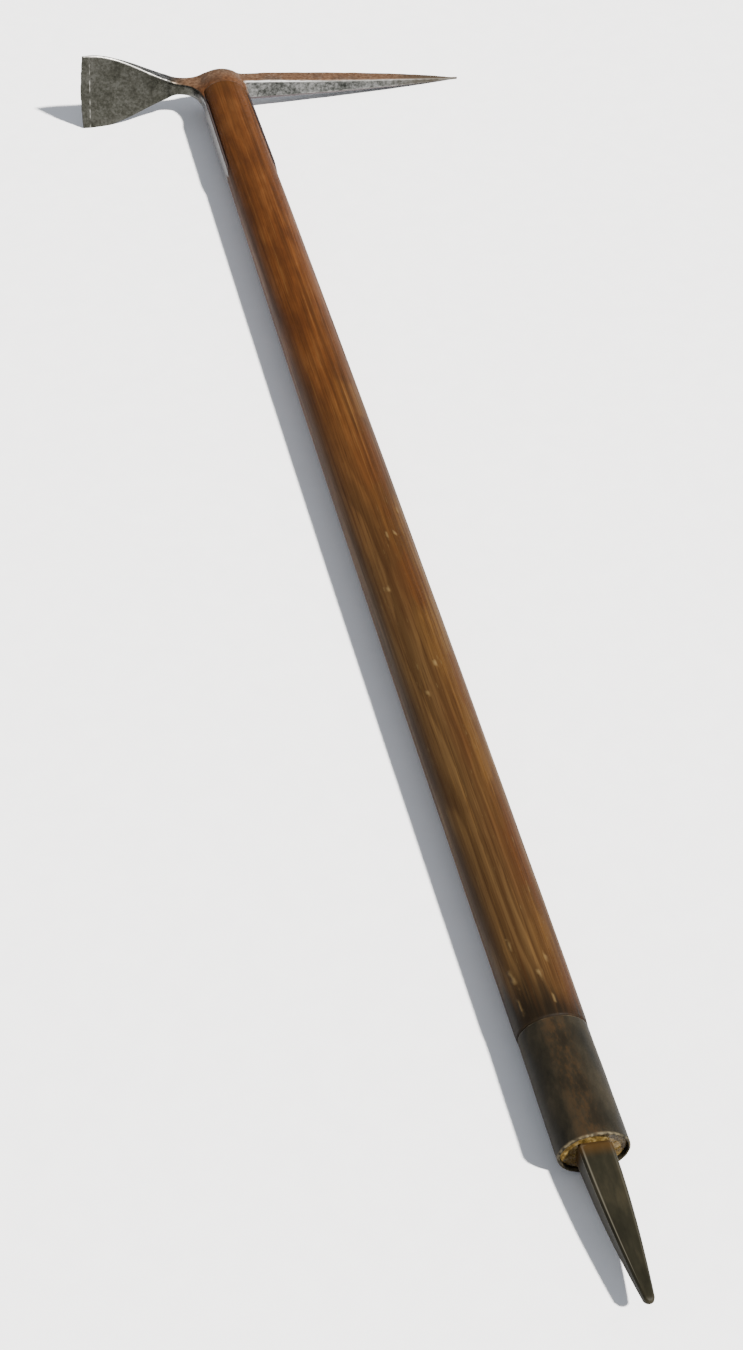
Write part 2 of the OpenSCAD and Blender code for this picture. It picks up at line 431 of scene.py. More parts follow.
def forged_steel():
    """Grey-black forged steel, brown round the socket and on top of the pick (there a painted reflection),
    bright on its arrises, with painted highlights and painted shade on the pick's chamfers, the blade's rim
    and the straps.
    """
    s = Shader("forged_steel")
    cloudy = s.noise(s.stretch(), 60, 5, 0.6)
    grit = s.noise(s.stretch(), 420, 5, 0.7)
    speck = s.noise(s.stretch(), 1100, 3, 0.7)
    grain = s.plus(s.times(cloudy, 0.45), s.times(grit, 0.55))
    x, y = s.split(s.place)[:2]
    nx, ny, nz = s.split(s.normal())
    along = s.minus(x, AXIS_X)
    blade = s.ramp(grain, [(0.36, lit(66, 66, 58)), (0.48, lit(98, 98, 88)), (0.6, lit(132, 132, 124))])
    silver = s.ramp(grain, [(0.38, lit(60, 64, 58)), (0.47, lit(130, 132, 128)),
                            (0.58, lit(206, 206, 204))])
    fresh = s.times(s.between(along, 0.0, 0.02), s.between(along, 0.10, 0.18, 1.0, 0.25),
                    s.between(y, PICK_LINE_Y - 0.026, PICK_LINE_Y - 0.018))
    grey = s.mix(fresh, blade, silver)
    grey = s.mix(s.between(speck, 0.54, 0.68, 0, 0.6), grey, lit(44, 44, 38))

    # Brown round the socket and on the back of the neck is patina; brown on the upward faces of the neck and
    # the pick is a painted reflection
    upward = s.between(nz, 0.5, 0.68)
    collar = s.times(s.between(s.size(along), 0.0165, 0.0215, 1, 0),
                     s.between(y, PICK_LINE_Y - 0.024, PICK_LINE_Y - 0.016))
    on_neck = s.times(s.between(along, -0.046, -0.026), s.between(along, 0.0, 0.01, 1, 0))
    neck_top = s.times(s.most(upward, s.between(ny, 0.3, 0.7)), on_neck)
    pick_top_reflection = s.times(upward, s.between(along, 0.0, 0.02))
    brown_at = s.most(collar, neck_top, pick_top_reflection)
    brown_at = s.times(brown_at, s.between(cloudy, 0.3, 0.5, 0.75, 1.0))
    brown = s.ramp(grit, [(0.32, lit(100, 70, 46)), (0.5, lit(140, 104, 76)), (0.66, lit(172, 138, 110))])
    warm = s.ramp(grit, [(0.32, lit(96, 56, 24)), (0.6, lit(140, 84, 38))])
    brown = s.mix(s.between(y, PICK_LINE_Y - 0.016, PICK_LINE_Y - 0.002, 0.8, 0.0), brown, warm)
    colour = s.mix(brown_at, grey, brown)

    # Bare metal on the arrises, with painted highlight along the blade's rim and bevel line, less where the
    # brown is and on the straps
    bare_and_highlight = s.times(s.between(s.attribute("wear_and_highlight"), 0.3, 0.85, 0, 0.85),
                   s.between(brown_at, 0.2, 0.9, 1, 0.1),
                   s.between(y, PICK_LINE_Y - 0.032, PICK_LINE_Y - 0.020, 0.25, 1.0))
    colour = s.mix(bare_and_highlight, colour, rgb(168, 166, 160))

    # Chamfers on the front of the pick: a painted highlight on the upper one, a painted reflection of the
    # shaded floor on the lower one
    forward = s.times(s.between(ny, -0.4, -0.7), s.between(along, 0.015, 0.022))
    chamfer = s.times(s.between(nz, 0.3, 0.45), s.between(nz, 0.58, 0.70, 1, 0), forward)
    upper = s.times(chamfer, s.between(along, 0.05, 0.10, 1.0, 0.1), s.between(grit, 0.36, 0.48, 0.45, 1.0))
    under = s.times(s.between(nz, -0.2, -0.4), forward)
    # Painted reflection of the shaded floor on the lower chamfer
    colour = s.mix(under, colour, lit(104, 84, 90))
    # Painted highlight on the upper chamfer, brightest near the root
    colour = s.mix(s.times(chamfer, 0.7), colour, lit(150, 150, 146))
    colour = s.mix(upper, colour, rgb(150, 150, 150))

    # Dull, darker places: the back of the head and the pick's point; on the blade's rim and on the straps this
    # is painted shade
    back = s.times(s.between(ny, 0.35, 0.75), s.between(along, -0.046, -0.026))
    colour = s.mix(s.times(back, 0.75), colour, lit(74, 66, 46))
    point = s.between(along, 0.125, 0.175, 0.0, 0.85)
    colour = s.mix(point, colour, lit(92, 82, 66))
    # Painted shade on the blade's faces turned down and to the left, away from the light
    rim = s.most(s.between(nz, -0.2, -0.5), s.between(nx, -0.3, -0.6))
    rim = s.times(rim, s.between(along, -0.040, -0.050))
    colour = s.mix(s.times(rim, 0.8), colour, lit(70, 66, 62))
    # Painted shade on the straps' faces
    strap_shade = s.times(s.between(y, PICK_LINE_Y - 0.020, PICK_LINE_Y - 0.030),
                         s.between(s.size(along), 0.024, 0.030, 1, 0))
    colour = s.mix(s.times(strap_shade, 0.8), colour, lit(84, 80, 84))
    neck = s.times(s.between(along, -0.062, -0.046), s.between(along, -0.022, -0.016, 1, 0))
    rough = s.minus(s.between(grain, 0.35, 0.62, 0.34, 0.46), s.times(neck, 0.13))
    dull = s.most(brown_at, strap_shade, chamfer, under, rim, point)
    s.set(base_color=colour,
          metallic=s.minus(0.92, s.times(dull, 0.85)),
          roughness=s.plus(rough, s.times(brown_at, 0.2)),
          specular=0.12)
    s.bump(s.plus(grain, s.times(speck, 0.25)), 0.3, 0.0006)
    return s.material


def rivet_steel():
    s = Shader("rivet_steel")
    cloudy = s.noise(s.stretch(), 500, 4, 0.6)
    colour = s.ramp(cloudy, [(0.3, lit(70, 66, 62)), (0.7, lit(140, 134, 126))])
    wear_and_highlight = s.between(s.attribute("wear_and_highlight"), 0.3, 0.9, 0, 0.7)
    s.set(base_color=s.mix(wear_and_highlight, colour, lit(185, 180, 170)), metallic=0.95,
          roughness=s.between(cloudy, 0.3, 0.7, 0.32, 0.5))
    s.bump(cloudy, 0.3, 0.0004)
    return s.material


def shaft_wood():
    """Old varnished ash: fine straight streaks, reddish high up, golden low down, grime near the ferrule."""
    s = Shader("shaft_wood")
    x, y, z = s.split(s.place)
    up = s.minus(y, MOUTH_Y)
    across = s.minus(x, AXIS_X)
    wander = s.noise(s.stretch((11, 1.8, 11)), 1, 4, 0.6)
    pith_x = s.plus(s.minus(across, 0.030), s.times(up, 0.012))
    pith_z = s.minus(z, AXIS_Z - 0.016)
    radius = s.math("SQRT", s.plus(s.math("POWER", s.size(pith_x), 2),
                                   s.math("POWER", s.size(pith_z), 2)))
    ring = s.math("FRACT", s.plus(s.times(radius, 300), s.times(wander, 7.0)))
    late = s.times(s.between(ring, 0.05, 0.65), s.between(ring, 0.85, 1.0, 1, 0))
    fibre = s.noise(s.stretch((520, 6, 520)), 1, 5, 0.65)
    pores = s.noise(s.stretch((1700, 34, 1700)), 1, 3, 0.6)
    blotch = s.noise(s.stretch((75, 22, 75)), 1, 4, 0.6)
    long_tone = s.noise(s.stretch((70, 4, 70), move=(0.3, 0.1, 0.2)), 1, 4, 0.6)
    red = s.ramp(blotch, [(0.3, lit(114, 66, 32)), (0.5, lit(134, 80, 38)), (0.68, lit(152, 96, 50))])
    gold = s.ramp(long_tone, [(0.34, lit(94, 63, 33)), (0.5, lit(116, 79, 40)), (0.64, lit(137, 100, 54))])
    cloud = s.noise(s.stretch((70, 15, 70), turn=(0, 0, -0.07)), 1, 3, 0.5)
    wave = s.math("COSINE", s.times(s.minus(up, 0.115, s.times(across, 2.0)), 2 * math.pi / 0.118))
    patch = s.plus(s.times(wave, 0.09), cloud)
    gold = s.mix(s.between(patch, 0.40, 0.50, 0.6, 0.0), gold, lit(112, 66, 32))
    gold = s.mix(s.between(patch, 0.54, 0.64, 0.0, 0.55), gold, lit(142, 102, 52))
    turn = s.plus(up, s.times(s.minus(long_tone, 0.5), 0.5))
    turn = s.minus(turn, s.times(across, 9.0))
    colour = s.mix(s.between(turn, 0.30, 0.75), gold, red)
    lower = s.between(up, 0.35, 0.72, 1.0, 0.0)
    # Painted light: the left side, in shade, is given a paler colour low down, and its dark streaks are made
    # stronger
    shaded_left = s.between(s.plus(across, s.times(s.minus(up, 0.22), 0.022)), -0.006, 0.010, 1.0, 0.0)
    colour = s.mix(s.times(shaded_left, lower, 0.75), colour, lit(134, 104, 66))
    streak = s.times(late, s.plus(0.22, s.times(lower, shaded_left, 0.3)))
    colour = s.mix(streak, colour, lit(68, 44, 24))
    colour = s.mix(s.between(fibre, 0.44, 0.64, 0, 0.55), colour, lit(80, 50, 26))
    colour = s.mix(s.between(fibre, 0.30, 0.42, 0.35, 0.0), colour, lit(186, 138, 78))
    colour = s.mix(s.between(pores, 0.54, 0.72, 0, 0.45), colour, lit(56, 34, 18))
    rubbed = s.noise(s.stretch((900, 70, 900)), 1, 3, 0.7)
    rubbed = s.times(s.between(rubbed, 0.62, 0.74, 0, 0.35), lower)
    colour = s.mix(rubbed, colour, lit(160, 138, 92))
    ragged = s.plus(s.times(s.minus(fibre, 0.5), 0.05), s.times(s.minus(cloud, 0.5), 0.05),
                    s.times(across, 0.5))
    grime = s.between(s.plus(up, ragged), FERRULE_LEN * MM - 0.001, FERRULE_LEN * MM + 0.030, 0.92, 0)
    colour = s.mix(grime, colour, lit(42, 36, 27))
    top_grime = s.between(s.plus(up, s.times(blotch, 0.03)), REACH * MM - 0.035, REACH * MM + 0.006, 0, 0.7)
    colour = s.mix(top_grime, colour, lit(112, 72, 34))
    scar = s.attribute("scar")
    colour = s.mix(scar, colour, lit(190, 160, 108))
    rough = s.between(fibre, 0.3, 0.7, 0.5, 0.62)
    s.set(base_color=colour, specular=0.04, roughness=s.plus(rough, s.times(scar, 0.2)))
    s.bump(s.plus(pores, s.times(late, 0.4)), 0.2, 0.0004)
    return s.material


def ferrule_steel():
    """Brown-black oxidised steel with a faint rusty streak along it and rims worn pale, the pale line also a
    painted highlight.
    """
    s = Shader("ferrule_steel")
    x = s.split(s.place)[0]
    cloudy = s.noise(s.stretch((1, 0.45, 1)), 120, 5, 0.6)
    speck = s.noise(s.stretch((1, 0.4, 1)), 700, 3, 0.7)
    dark = s.ramp(cloudy, [(0.3, lit(44, 42, 34)), (0.5, lit(62, 57, 45)), (0.72, lit(84, 76, 60))])
    side = s.plus(s.minus(x, AXIS_X + 0.002), s.times(cloudy, 0.008))
    streak = s.times(s.between(s.size(side), 0.001, 0.010, 1, 0),
                    s.between(s.plus(cloudy, speck), 0.85, 1.2, 0.1, 0.6))
    colour = s.mix(streak, dark, lit(100, 74, 46))
    # Rims worn pale, the pale line also a painted highlight on the edges
    worn = s.between(s.noise(s.stretch(), 240, 3, 0.6), 0.38, 0.6, 0.15, 1.0)
    wear_and_highlight = s.times(s.between(s.attribute("wear_and_highlight"), 0.35, 0.85, 0, 0.7), worn)
    colour = s.mix(wear_and_highlight, colour, lit(186, 170, 134))
    s.set(base_color=colour, metallic=0.05, roughness=s.between(cloudy, 0.3, 0.7, 0.55, 0.68), specular=0.05)
    s.bump(s.plus(cloudy, s.times(speck, 0.4)), 0.25, 0.0004)
    return s.material


def nail_steel():
    s = Shader("nail_steel")
    cloudy = s.noise(s.stretch(), 900, 4, 0.6)
    colour = s.ramp(cloudy, [(0.3, lit(92, 78, 62)), (0.7, lit(150, 134, 112))])
    s.set(base_color=colour, metallic=0.8, roughness=s.between(cloudy, 0.3, 0.7, 0.4, 0.6))
    s.bump(cloudy, 0.3, 0.0003)
    return s.material


def spike_steel():
    """Dark olive-brown steel with a painted highlight along its corners, stronger on the left ones, stained
    brown at its root.
    """
    s = Shader("spike_steel")
    x, y = s.split(s.place)[:2]
    cloudy = s.noise(s.stretch((1, 0.35, 1)), 160, 5, 0.6)
    lines = s.noise(s.stretch((1400, 60, 1400)), 1, 3, 0.6)
    colour = s.ramp(cloudy, [(0.3, lit(50, 48, 36)), (0.5, lit(60, 57, 43)), (0.7, lit(76, 70, 52))])
    colour = s.mix(s.between(lines, 0.5, 0.7, 0, 0.3), colour, lit(40, 36, 27))
    # Painted highlight along the corners, stronger on the left ones
    wear_and_highlight = s.times(s.between(s.attribute("wear_and_highlight"), 0.72, 1.0, 0, 0.42),
                  s.between(x, AXIS_X, AXIS_X + 0.001, 1.0, 0.3))
    colour = s.mix(wear_and_highlight, colour, lit(206, 198, 176))
    colour = s.mix(s.between(y, MOUTH_Y - 0.007, MOUTH_Y + 0.001, 0, 0.6), colour, lit(122, 88, 44))
    s.set(base_color=colour, metallic=s.plus(0.03, s.times(wear_and_highlight, 0.5)),
          roughness=s.between(cloudy, 0.3, 0.7, 0.44, 0.56), specular=0.06)
    s.bump(s.plus(cloudy, s.times(lines, 0.4)), 0.2, 0.0003)
    return s.material


def pitch():
    """Golden-brown hardened pitch: lumpy, with a thin glossy skin."""
    s = Shader("packing")
    lumps = s.noise(s.stretch(), 260, 4, 0.6)
    fine = s.noise(s.stretch(), 1200, 3, 0.6)
    colour = s.ramp(lumps, [(0.3, lit(88, 68, 30)), (0.5, lit(142, 114, 58)), (0.7, lit(206, 178, 112))])
    s.set(base_color=colour, roughness=s.between(fine, 0.3, 0.7, 0.2, 0.4),
          coat=0.06, coat_roughness=0.1, specular=0.12)
    s.bump(s.plus(lumps, s.times(fine, 0.4)), 0.6, 0.001)
    return s.material


def floor_material():
    s = Shader("floor")
    grain = s.noise(s.stretch(), 60, 3, 0.5)
    s.set(base_color=s.ramp(grain, [(0.2, rgb(243, 243, 244)), (0.8, rgb(249, 249, 250))]), roughness=0.9)
    return s.material


# ---------------------------------------------------------------- head

def flare(s):
    """Half width of the adze, s from 0 at the neck to 1 at the edge."""
    opening = np.sin(np.pi / 2 * np.minimum(1, s / FLARE_FULL)) ** 1.5
    return NECK_W / 2 + (ADZE_W - ADZE_GAP - NECK_W) / 2 * opening


def adze_bar():
    """Blade and neck as one loft along X, from the cutting edge into the socket."""
    rings = []
    for x in np.concatenate([np.linspace(-ADZE_LEN, -ADZE_LEN + BEVEL, 9),
                             np.linspace(-ADZE_LEN + BEVEL + 1, -NECK_X, 60),
                             np.linspace(-NECK_X + 1, -8, 26)]):
        s = np.clip((-x - NECK_X) / (ADZE_LEN - 2 - NECK_X), 0, 1)
        root = np.clip((x + 28) / 14, 0, 1)
        half = flare(s) + 4.5 * (1 - math.sqrt(1 - root * root))
        thick = np.interp(-x, [NECK_X, NECK_X + 5, 84, ADZE_LEN - BEVEL, ADZE_LEN],
                          [14, 13.2, 3.2, 2.5, 0.9])
        low = np.interp(-x, [0, NECK_X - 3, NECK_X + 6, ADZE_LEN - BEVEL, ADZE_LEN],
                        [NECK_LOW, NECK_LOW, 0, 0, 0.7])
        power = np.interp(-x, [NECK_X - 8, NECK_X + 14], [3.8, 14])
        z, y = superellipse(half, thick / 2, power)
        bow = 2.0 * (z / (ADZE_W / 2)) ** 2 * smoothstep(0.8, 1, s)
        rings.append(np.stack([np.full_like(z, x) + bow, y + low + thick / 2, z], 1))
    return loft(place(np.array(rings), PICK_LINE_Y))


def octagon(half_z, half_y, cut_z, cut_y, back, upper, n=8):
    """Chamfered section (z, y): large cuts in front, -y, the upper one times its share, small ones behind."""
    corners = [(half_z, -half_y + cut_y * upper), (half_z, half_y - back), (half_z - back, half_y),
               (-half_z + back, half_y), (-half_z, half_y - back), (-half_z, -half_y + cut_y),
               (-half_z + cut_z, -half_y), (half_z - cut_z * upper, -half_y)]
    ring = []
    for a, b in zip(corners, corners[1:] + corners[:1]):
        ring += [(a[0] + (b[0] - a[0]) * k / n, a[1] + (b[1] - a[1]) * k / n) for k in range(n)]
    return np.array(ring)


def pick_bar():
    """Straight pick of eight-sided section, flat on top, with large chamfers on its front."""
    rings = []
    run = PICK_LEN - PICK_X - PICK_GAP
    for k in np.linspace(0, 1, 90):
        s = 1 - (1 - k) ** 1.6
        depth = max(PICK_POINT, PICK_D * (1 - s ** 3) ** 0.9)
        thick = max(PICK_POINT, PICK_T * (1 - s) ** 0.75)
        mid = PICK_RISE * (1 - s ** 4)
        back = min(thick, depth) * 0.10
        ring = octagon(thick / 2, depth / 2, thick * 0.17, depth * 0.12, back, 0.6)
        rings.append(np.stack([np.full(len(ring), PICK_X + run * s), ring[:, 1] + mid, ring[:, 0]], 1))
    return loft(place(np.array(rings), PICK_LINE_Y))


def socket_cap():
    """Oval cap over the end of the wood with a domed crown."""
    heights = np.concatenate([np.linspace(-SOCKET_H, 0, 12), CROWN * np.sin(np.radians(np.arange(6, 89, 4)))])
    rings = []
    for y in heights:
        up = max(y, 0) / CROWN
        lip = 0.55 * smoothstep(-SOCKET_H + 7, -SOCKET_H, y)
        x, z = superellipse((SOCKET_W / 2 - lip) * (1 - up ** 4) ** 0.5,
                            (SOCKET_T / 2 - lip) * (1 - up ** 3) ** 0.5, 2.1)
        rings.append(np.stack([x, np.full_like(x, y), z], 1))
    return loft(place(np.array(rings), PICK_LINE_Y))


def strap(side):
    """Strap down one narrow side of the shaft, ending in a rounded point."""
    rings = []
    ends = STRAP_POINT * (1 - np.cos(np.radians(np.arange(8, 90, 6))))
    for d in np.concatenate([ends, np.linspace(STRAP_POINT, STRAP_LEN, 70)]):
        y = -STRAP_LEN + d
        half = STRAP_W / 2 * math.sqrt(max(0.0, 1 - max(0.0, 1 - d / STRAP_POINT) ** 2))
        thick = STRAP_T - 0.5 * (1 - min(1, d / STRAP_POINT))
        x, z = superellipse(thick / 2, half, 5)
        middle = crest(y) + STRAP_LIFT - STRAP_T + thick / 2
        rings.append(np.stack([side * (middle + x), np.full_like(x, y), z], 1))
    return loft(place(np.array(rings), PICK_LINE_Y))


def neck_fillet():
    """Sweep of metal from the neck down into the adze-side strap."""
    reach_x, reach_y = 13.0, 29.0
    inner = -14.0
    x0 = -SOCKET_W / 2 - reach_x
    y0 = NECK_LOW - reach_y
    rings = []
    for y in np.concatenate([y0 + reach_y * np.sin(np.radians(np.arange(0, 90, 4))), [NECK_LOW + 3]]):
        t = np.clip((y - y0) / reach_y, 0, 1)
        outer = x0 + reach_x * math.sqrt(1 - t * t)
        half_x = (inner - outer) / 2
        half_z = STRAP_W / 2 + (NECK_W / 2 - STRAP_W / 2) * t
        x, z = superellipse(half_x, half_z, 4)
        rings.append(np.stack([x + (outer + inner) / 2, np.full_like(x, y), z], 1))
    return loft(place(np.array(rings), PICK_LINE_Y))


def blade_rim_highlight(co):
    """Painted highlight round the blade's rim, strong on its upper side, and along the line where its ground
    bevel begins.
    """
    x = (co[:, 0] - AXIS_X) / MM
    z = np.abs(co[:, 2] - AXIS_Z) / MM
    # The upper side, where the light falls, gets the stronger painted highlight
    upper = np.where(co[:, 2] > AXIS_Z, 1.0, 0.2)
    s = np.clip((-x - NECK_X) / (ADZE_LEN - 2 - NECK_X), 0, 1)
    patchy = 0.7 + 0.6 * perlin(co, 0.004, 2.9)
    rim = smoothstep(1.1, 0.4, flare(s) - z) * smoothstep(-NECK_X - 4, -NECK_X - 12, x) * 0.5 * upper
    edge = smoothstep(-ADZE_LEN + 1.4, -ADZE_LEN + 0.7, x) * 0.15
    line = smoothstep(0.75, 0.35, np.abs(x + ADZE_LEN - BEVEL + 0.3)) * 0.66
    return np.clip(np.maximum(np.maximum(rim, edge), line) * patchy, 0, 1) * (x < -NECK_X)


def build_head():
    """All of the head fused into one forging, its joins softened, its faces a little uneven."""
    parts = [adze_bar(), pick_bar(), socket_cap(), strap(1), strap(-1), neck_fillet()]
    obj = fuse(parts, "forged_head", 0.5 * MM)
    co = coords(obj)
    x = (co[:, 0] - AXIS_X) / MM
    y = (co[:, 1] - PICK_LINE_Y) / MM
    adze_root = smoothstep(-44, -34, x) * smoothstep(-10, -16, x) * smoothstep(-40, -28, y)
    pick_root = smoothstep(8, 14, x) * smoothstep(36, 24, x) * smoothstep(-3, 3, y)
    crown = smoothstep(32, 20, np.abs(x)) * smoothstep(-7, 0, y)
    relax(obj, np.maximum(np.maximum(adze_root, pick_root), crown), 130)
    relax(obj, np.full(len(co), 0.6), 3)
    co = coords(obj)
    forged = 0.16 * perlin(co, 0.011) + 0.07 * perlin(co, 0.0045, 7.3)
    on_pick = smoothstep(22, 34, x)
    hammer = 0.08 * perlin(co, (0.009, 0.006, 0.006), 3.1) * on_pick * smoothstep(190, 150, x)
    depth = (forged * smoothstep(-ADZE_LEN + 2, -ADZE_LEN + 12, x) + hammer) * MM
    calm = smoothstep(-18, -12, y) * 0.85 + 0.15
    set_coords(obj, co + normals(obj) * (depth * calm)[:, None])
    co = coords(obj)
    shoulder = PICK_LINE_Y + 0.5 * CROWN * MM
    room = (0.5 * CROWN - CROWN_GAP) * MM
    squeeze = min(1.0, room / (co[:, 1].max() - shoulder))
    co[:, 1] = np.where(co[:, 1] > shoulder, shoulder + (co[:, 1] - shoulder) * squeeze, co[:, 1])
    set_coords(obj, co)
    x = (co[:, 0] - AXIS_X) / MM
    # Painted shade: less edge brightening on the blade's lower side and its cutting edge
    shaded_rim = np.maximum(smoothstep(1, -3, (co[:, 2] - AXIS_Z) / MM),
                          smoothstep(-ADZE_LEN + 4, -ADZE_LEN + 2, x))
    shaded_rim *= smoothstep(-NECK_X, -NECK_X - 8, x)
    edge_wear_and_highlight(obj, 5, blade_rim_highlight(co), 1 - 0.85 * shaded_rim)
    finish_piece(obj, forged_steel(), "head")


# ---------------------------------------------------------------- rivets

def build_rivets():
    """Rivets through both straps, with slightly domed heads that end just under the straps' faces."""
    material = rivet_steel()
    for node in ("rivet_upper", "rivet_middle", "rivet_lower"):
        lo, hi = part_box(node)
        y = (lo.y + hi.y) / 2
        half = (hi.x - lo.x) / 2 / MM
        head_r = (hi.y - lo.y) / 2 / MM
        profile = [(-half + 0.02, 0.4), (-half + 0.06, head_r * 0.55), (-half + 0.25, head_r * 0.93),
                   (-half + 0.45, head_r * 0.97), (-half + 1.3, 2.5)]
        profile += [(-x, r) for x, r in reversed(profile)]
        turn = np.linspace(0, 2 * np.pi, 40, endpoint=False)
        rings = [np.stack([np.full(40, x), r * np.cos(turn), r * np.sin(turn)], 1) for x, r in profile]
        obj = loft(place(np.array(rings), y), node.replace("rivet", "strap_rivet"))
        edge_wear_and_highlight(obj, 1)
        finish_piece(obj, material, node)


# ---------------------------------------------------------------- shaft

KNOCK_SEED = 5


def knocks():
    """Old knocks in the wood: height above the ferrule's mouth, angle from +X towards +Z, length and width.

    A cluster lies close above the ferrule, others over the lower half, and a few on the side turned down.
    """
    rng = np.random.default_rng(KNOCK_SEED)
    cluster_lo = FERRULE_LEN + 8
    cluster_hi = cluster_lo + 50
    halfway = REACH / 2
    rows = []
    for count, lowest, highest, angle_from, angle_to in (
            (6, cluster_lo, cluster_hi, 50, 140),
            (6, cluster_hi, halfway, 50, 130),
            (4, cluster_lo, REACH * 0.7, 210, 320)):
        for _ in range(count):
            rows.append((rng.uniform(lowest, highest), rng.uniform(angle_from, angle_to),
                         rng.uniform(3, 11), rng.uniform(1.0, 2.2)))
    return rows


def build_shaft():
    """Oval wood that swells at mid length, flattened under the straps and thinner where it is covered."""
    n, stations = 128, 900
    covered = 4.6
    strap_seat = 2.15
    turn = 2 * np.pi * np.arange(n) / n
    top = REACH - SOCKET_H + 4
    heights = np.linspace(SHAFT_LO.y / MM - MOUTH_Y / MM + 0.5, FERRULE_LEN - 0.5, 12)
    heights = np.concatenate([heights, np.linspace(FERRULE_LEN - 0.45, top, stations)])
    rings = []
    for y in heights:
        inside = y < FERRULE_LEN - 0.4 or y > REACH - SOCKET_H + 0.6
        size = shaft_scale(y)
        shrink = covered if inside else 0.5 * smoothstep(FERRULE_LEN + 6, FERRULE_LEN, y)
        a = SHAFT_W / 2 * size - shrink / 2
        b = SHAFT_T / 2 * size - shrink / 2
        x, z = a * np.cos(turn), b * np.sin(turn)
        if y > REACH - STRAP_LEN + STRAP_POINT * 0.6:
            flat = a - strap_seat
            x = np.clip(x, -flat, flat)
        rings.append(np.stack([x, np.full(n, y), z], 1))
    obj = loft(place(np.array(rings), MOUTH_Y), "ash_shaft")
    co = coords(obj)
    up = np.repeat(heights, n)
    angle = np.tile(np.degrees(turn), len(heights))
    worn = 0.12 * perlin(co, (0.02, 0.09, 0.02), 1.7) + 0.05 * perlin(co, (0.006, 0.03, 0.006), 5.2)
    scar = np.zeros(len(co))
    for height, round_at, length, width in knocks():
        arc = np.radians((angle - round_at + 180) % 360 - 180) * SHAFT_W / 2 * 0.9
        ragged = 1 + 0.9 * perlin(co, (0.0012, 0.003, 0.0012), height)
        distance = np.hypot((up - height - 1.5 * arc) / (length / 2), arc / (width / 2)) * ragged
        scar = np.maximum(scar, smoothstep(1.15, 0.4, distance))
    keep = smoothstep(REACH - STRAP_LEN - 2, REACH - STRAP_LEN - 10, up) * 0.9 + 0.1
    shift = (worn * keep - 0.15 - 0.35 * scar) * MM
    set_coords(obj, co + normals(obj) * shift[:, None])
    write_attribute(obj, "scar", scar * 0.5)
    finish_piece(obj, shaft_wood(), "shaft")


# ---------------------------------------------------------------- ferrule and nail

def build_ferrule():
    """Oval tube with a rolled mouth, a rounded upper rim worn pale with a painted highlight, and small dents.
    """
    n = 160
    outer = [(0.0, 1.15), (0.12, 0.75), (0.4, 0.35), (0.85, 0.1), (1.5, 0.0)]
    outer += [(y, 0.0) for y in np.linspace(2.3, FERRULE_LEN - 1.6, 90)]
    outer += [(FERRULE_LEN - 0.8, 0.02), (FERRULE_LEN - 0.35, 0.12), (FERRULE_LEN - 0.05, 0.4)]
    inner = [(FERRULE_LEN, 0.9), (FERRULE_LEN - 0.3, FERRULE_WALL)]
    inner += [(y, FERRULE_WALL) for y in np.linspace(FERRULE_LEN - 4, 3, 12)]
    inner += [(1.0, FERRULE_WALL), (0.3, FERRULE_WALL - 0.1), (0.04, FERRULE_WALL - 0.3)]
    profile = outer + inner
    turn = 2 * np.pi * np.arange(n) / n
    verts = []
    for y, inset in profile:
        a = SHAFT_W / 2 - FERRULE_GAP - inset
        b = SHAFT_T / 2 - FERRULE_GAP - inset
        verts.append(np.stack([a * np.cos(turn), np.full(n, y), b * np.sin(turn)], 1))
    points = place(np.concatenate(verts), MOUTH_Y)
    m = len(profile)
    faces = []
    for j in range(m):
        a, b = j * n, (j + 1) % m * n
        faces += [(a + i, a + (i + 1) % n, b + (i + 1) % n, b + i) for i in range(n)]
    mesh = bpy.data.meshes.new("steel_ferrule")
    mesh.from_pydata(points.tolist(), [], faces)
    obj = new_object("steel_ferrule", mesh)
    outward(obj)
    co = coords(obj)
    up = np.repeat([y for y, _ in profile], n)
    dents = 0.10 * perlin(co, (0.012, 0.02, 0.012), 2.2) + 0.04 * perlin(co, 0.004, 9.1)
    ragged = smoothstep(1.2, 0.0, up) * 0.22 * perlin(co, 0.0016, 4.4)
    set_coords(obj, co + normals(obj) * ((dents - 0.1 + ragged) * MM)[:, None])
    edge_wear_and_highlight(obj, 2)
    finish_piece(obj, ferrule_steel(), "ferrule")


def build_nail():
    """Nail with a flattened head that ends just under the ferrule's face."""
    lo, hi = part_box("ferrule_nail")
    turn = math.radians(NAIL_TURN)
    axis = Vector((-math.sin(turn), 0, math.cos(turn)))
    y = (lo.y + hi.y) / 2
    depths = [(7.8, 0.3), (6.5, 1.3), (0.9, 1.45), (0.3, 1.48), (0.05, 1.2), (0.0, 0.5)]
    profile = [(NAIL_SURFACE - depth, r) for depth, r in depths]
    side = Vector((0, 1, 0))
    other = axis.cross(side)
    rings = []
    for along, r in profile:
        rings.append([axis * along + side * (r * math.cos(t)) + other * (r * math.sin(t))
                      for t in np.linspace(0, 2 * math.pi, 32, endpoint=False)])
    obj = loft(place(np.array(rings), y), "ferrule_pin")
    edge_wear_and_highlight(obj, 1)
    finish_piece(obj, nail_steel(), "ferrule_nail")


# ---------------------------------------------------------------- spike and packing

